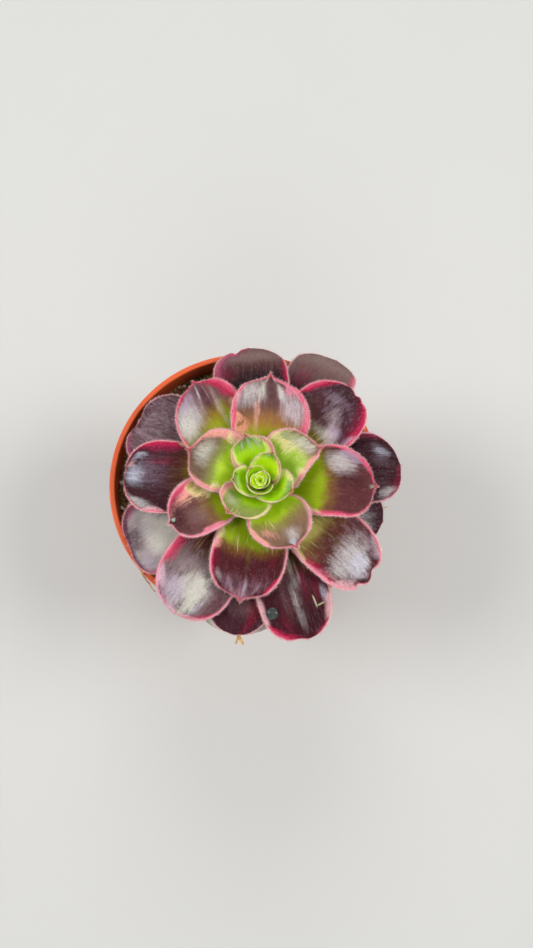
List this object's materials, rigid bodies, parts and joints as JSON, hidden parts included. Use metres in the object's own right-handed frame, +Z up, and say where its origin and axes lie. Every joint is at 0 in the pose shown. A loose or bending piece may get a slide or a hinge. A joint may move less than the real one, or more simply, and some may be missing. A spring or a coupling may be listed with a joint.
{
  "type": "potted aeonium",
  "caption": "Succulent rosette of broad fleshy leaves on a short stem, growing in peat in a round tapered plastic nursery pot.",
  "frame": {"origin": "centre of the pot's underside, on the surface that it stands on", "axes": "+Z up along the pot's axis; -Y is the side that the rosette's stem leans towards, with +X to its right"},
  "size_m": [0.1118, 0.1146, 0.1176],
  "materials": {
    "pot_plastic": "satin moulded",
    "peat": "crumbly, matt",
    "stem_bark": "rough bark",
    "leaf_green": "waxy satin",
    "leaf_dark": "waxy satin",
    "leaf_faded": "dull",
    "root_tan": "dry"
  },
  "bodies": {
    "root": {"pot": "pot_plastic", "soil": "peat", "stem": "stem_bark", "bud": "leaf_green", "leaf_01": "leaf_green", "leaf_02": "leaf_green", "leaf_03": "leaf_green", "leaf_04": "leaf_green", "leaf_05": "leaf_green", "leaf_06": "leaf_green", "leaf_07": "leaf_green", "leaf_08": "leaf_green", "leaf_09": "leaf_green", "leaf_10": "leaf_green", "leaf_11": "leaf_green", "leaf_12": "leaf_dark", "leaf_13": "leaf_dark", "leaf_14": "leaf_dark", "leaf_15": "leaf_dark", "leaf_16": "leaf_dark", "leaf_17": "leaf_dark", "leaf_18": "leaf_dark", "leaf_19": "leaf_dark", "leaf_20": "leaf_dark", "leaf_21": "leaf_dark", "leaf_22": "leaf_dark", "leaf_23": "leaf_dark", "leaf_24": "leaf_dark", "leaf_25": "leaf_dark", "leaf_26": "leaf_dark", "leaf_27": "leaf_dark", "leaf_29": "leaf_dark", "faded_leaf": "leaf_faded", "root_left": "root_tan", "root_right": "root_tan", "root_front": "root_tan"}
  },
  "joints": []
}
